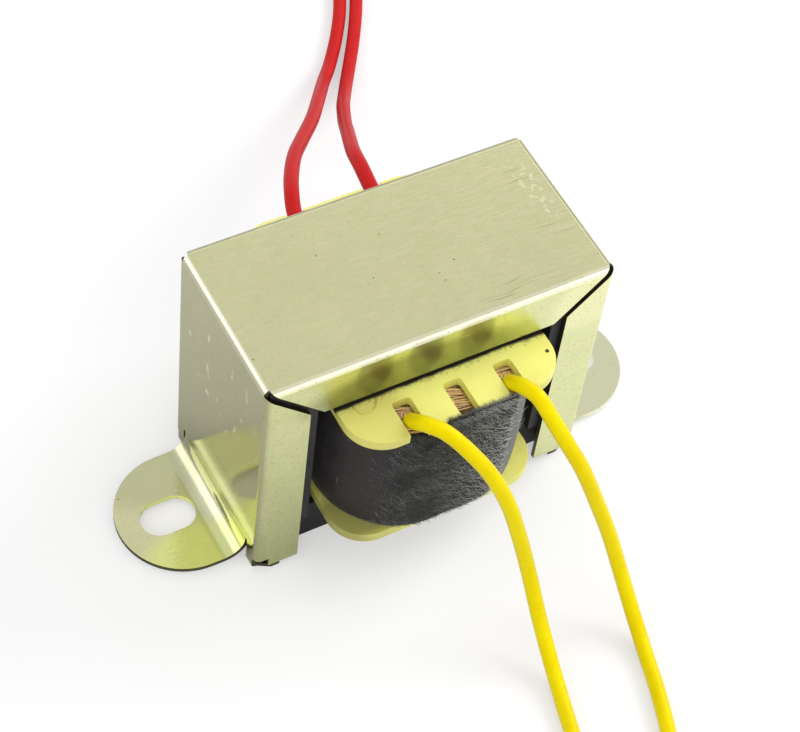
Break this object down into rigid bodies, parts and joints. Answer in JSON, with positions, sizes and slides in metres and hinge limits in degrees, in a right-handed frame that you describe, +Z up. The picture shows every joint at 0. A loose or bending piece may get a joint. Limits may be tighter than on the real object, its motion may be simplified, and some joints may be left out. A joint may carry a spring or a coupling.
{
  "type": "chassis-mount transformer",
  "caption": "Small mains transformer: laminated EI core in a folded channel frame with slotted ears, a flanged bobbin with taped windings, and insulated flying leads.",
  "frame": {"origin": "middle of the footprint, in the plane of the ears' undersides, which is the surface that the transformer is screwed to", "axes": "+X from ear to ear, along the core's width; +Y towards the back, where the primary leads come out; +Z up, away from the mounting surface"},
  "size_m": [0.0759, 0.1761, 0.0343],
  "materials": {
    "zinc_plate": "zinc plate with a pale yellow-green passivate, satin to glossy",
    "core_steel": "punched silicon steel sheet, dark grey, dull",
    "bobbin_plastic": "natural cream-yellow moulding, satin",
    "enamelled_copper": "enamelled copper wire",
    "bare_copper": "twisted bare copper",
    "tinned_copper": "tinned copper strands",
    "wrap_film": "thin film wrap",
    "cloth_tape": "black non-woven cloth tape with a hairy edge",
    "yellow_insulation": "soft PVC, satin",
    "red_insulation": "soft PVC, satin"
  },
  "bodies": {
    "root": {"channel_frame": "zinc_plate", "e_laminations": "core_steel", "i_laminations": "core_steel", "bobbin": "bobbin_plastic", "primary_winding": "enamelled_copper", "winding_wrap": "wrap_film", "secondary_winding": "enamelled_copper", "outer_tape": "cloth_tape", "yellow_lead_left": "yellow_insulation", "yellow_lead_right": "yellow_insulation", "red_lead_left": "red_insulation", "red_lead_right": "red_insulation", "yellow_strands_left": "tinned_copper", "yellow_strands_right": "tinned_copper", "red_strands_left": "tinned_copper", "red_strands_right": "tinned_copper", "yellow_joint_left": "bare_copper", "yellow_joint_right": "bare_copper", "red_joint_left": "bare_copper", "red_joint_right": "bare_copper"}
  },
  "joints": []
}
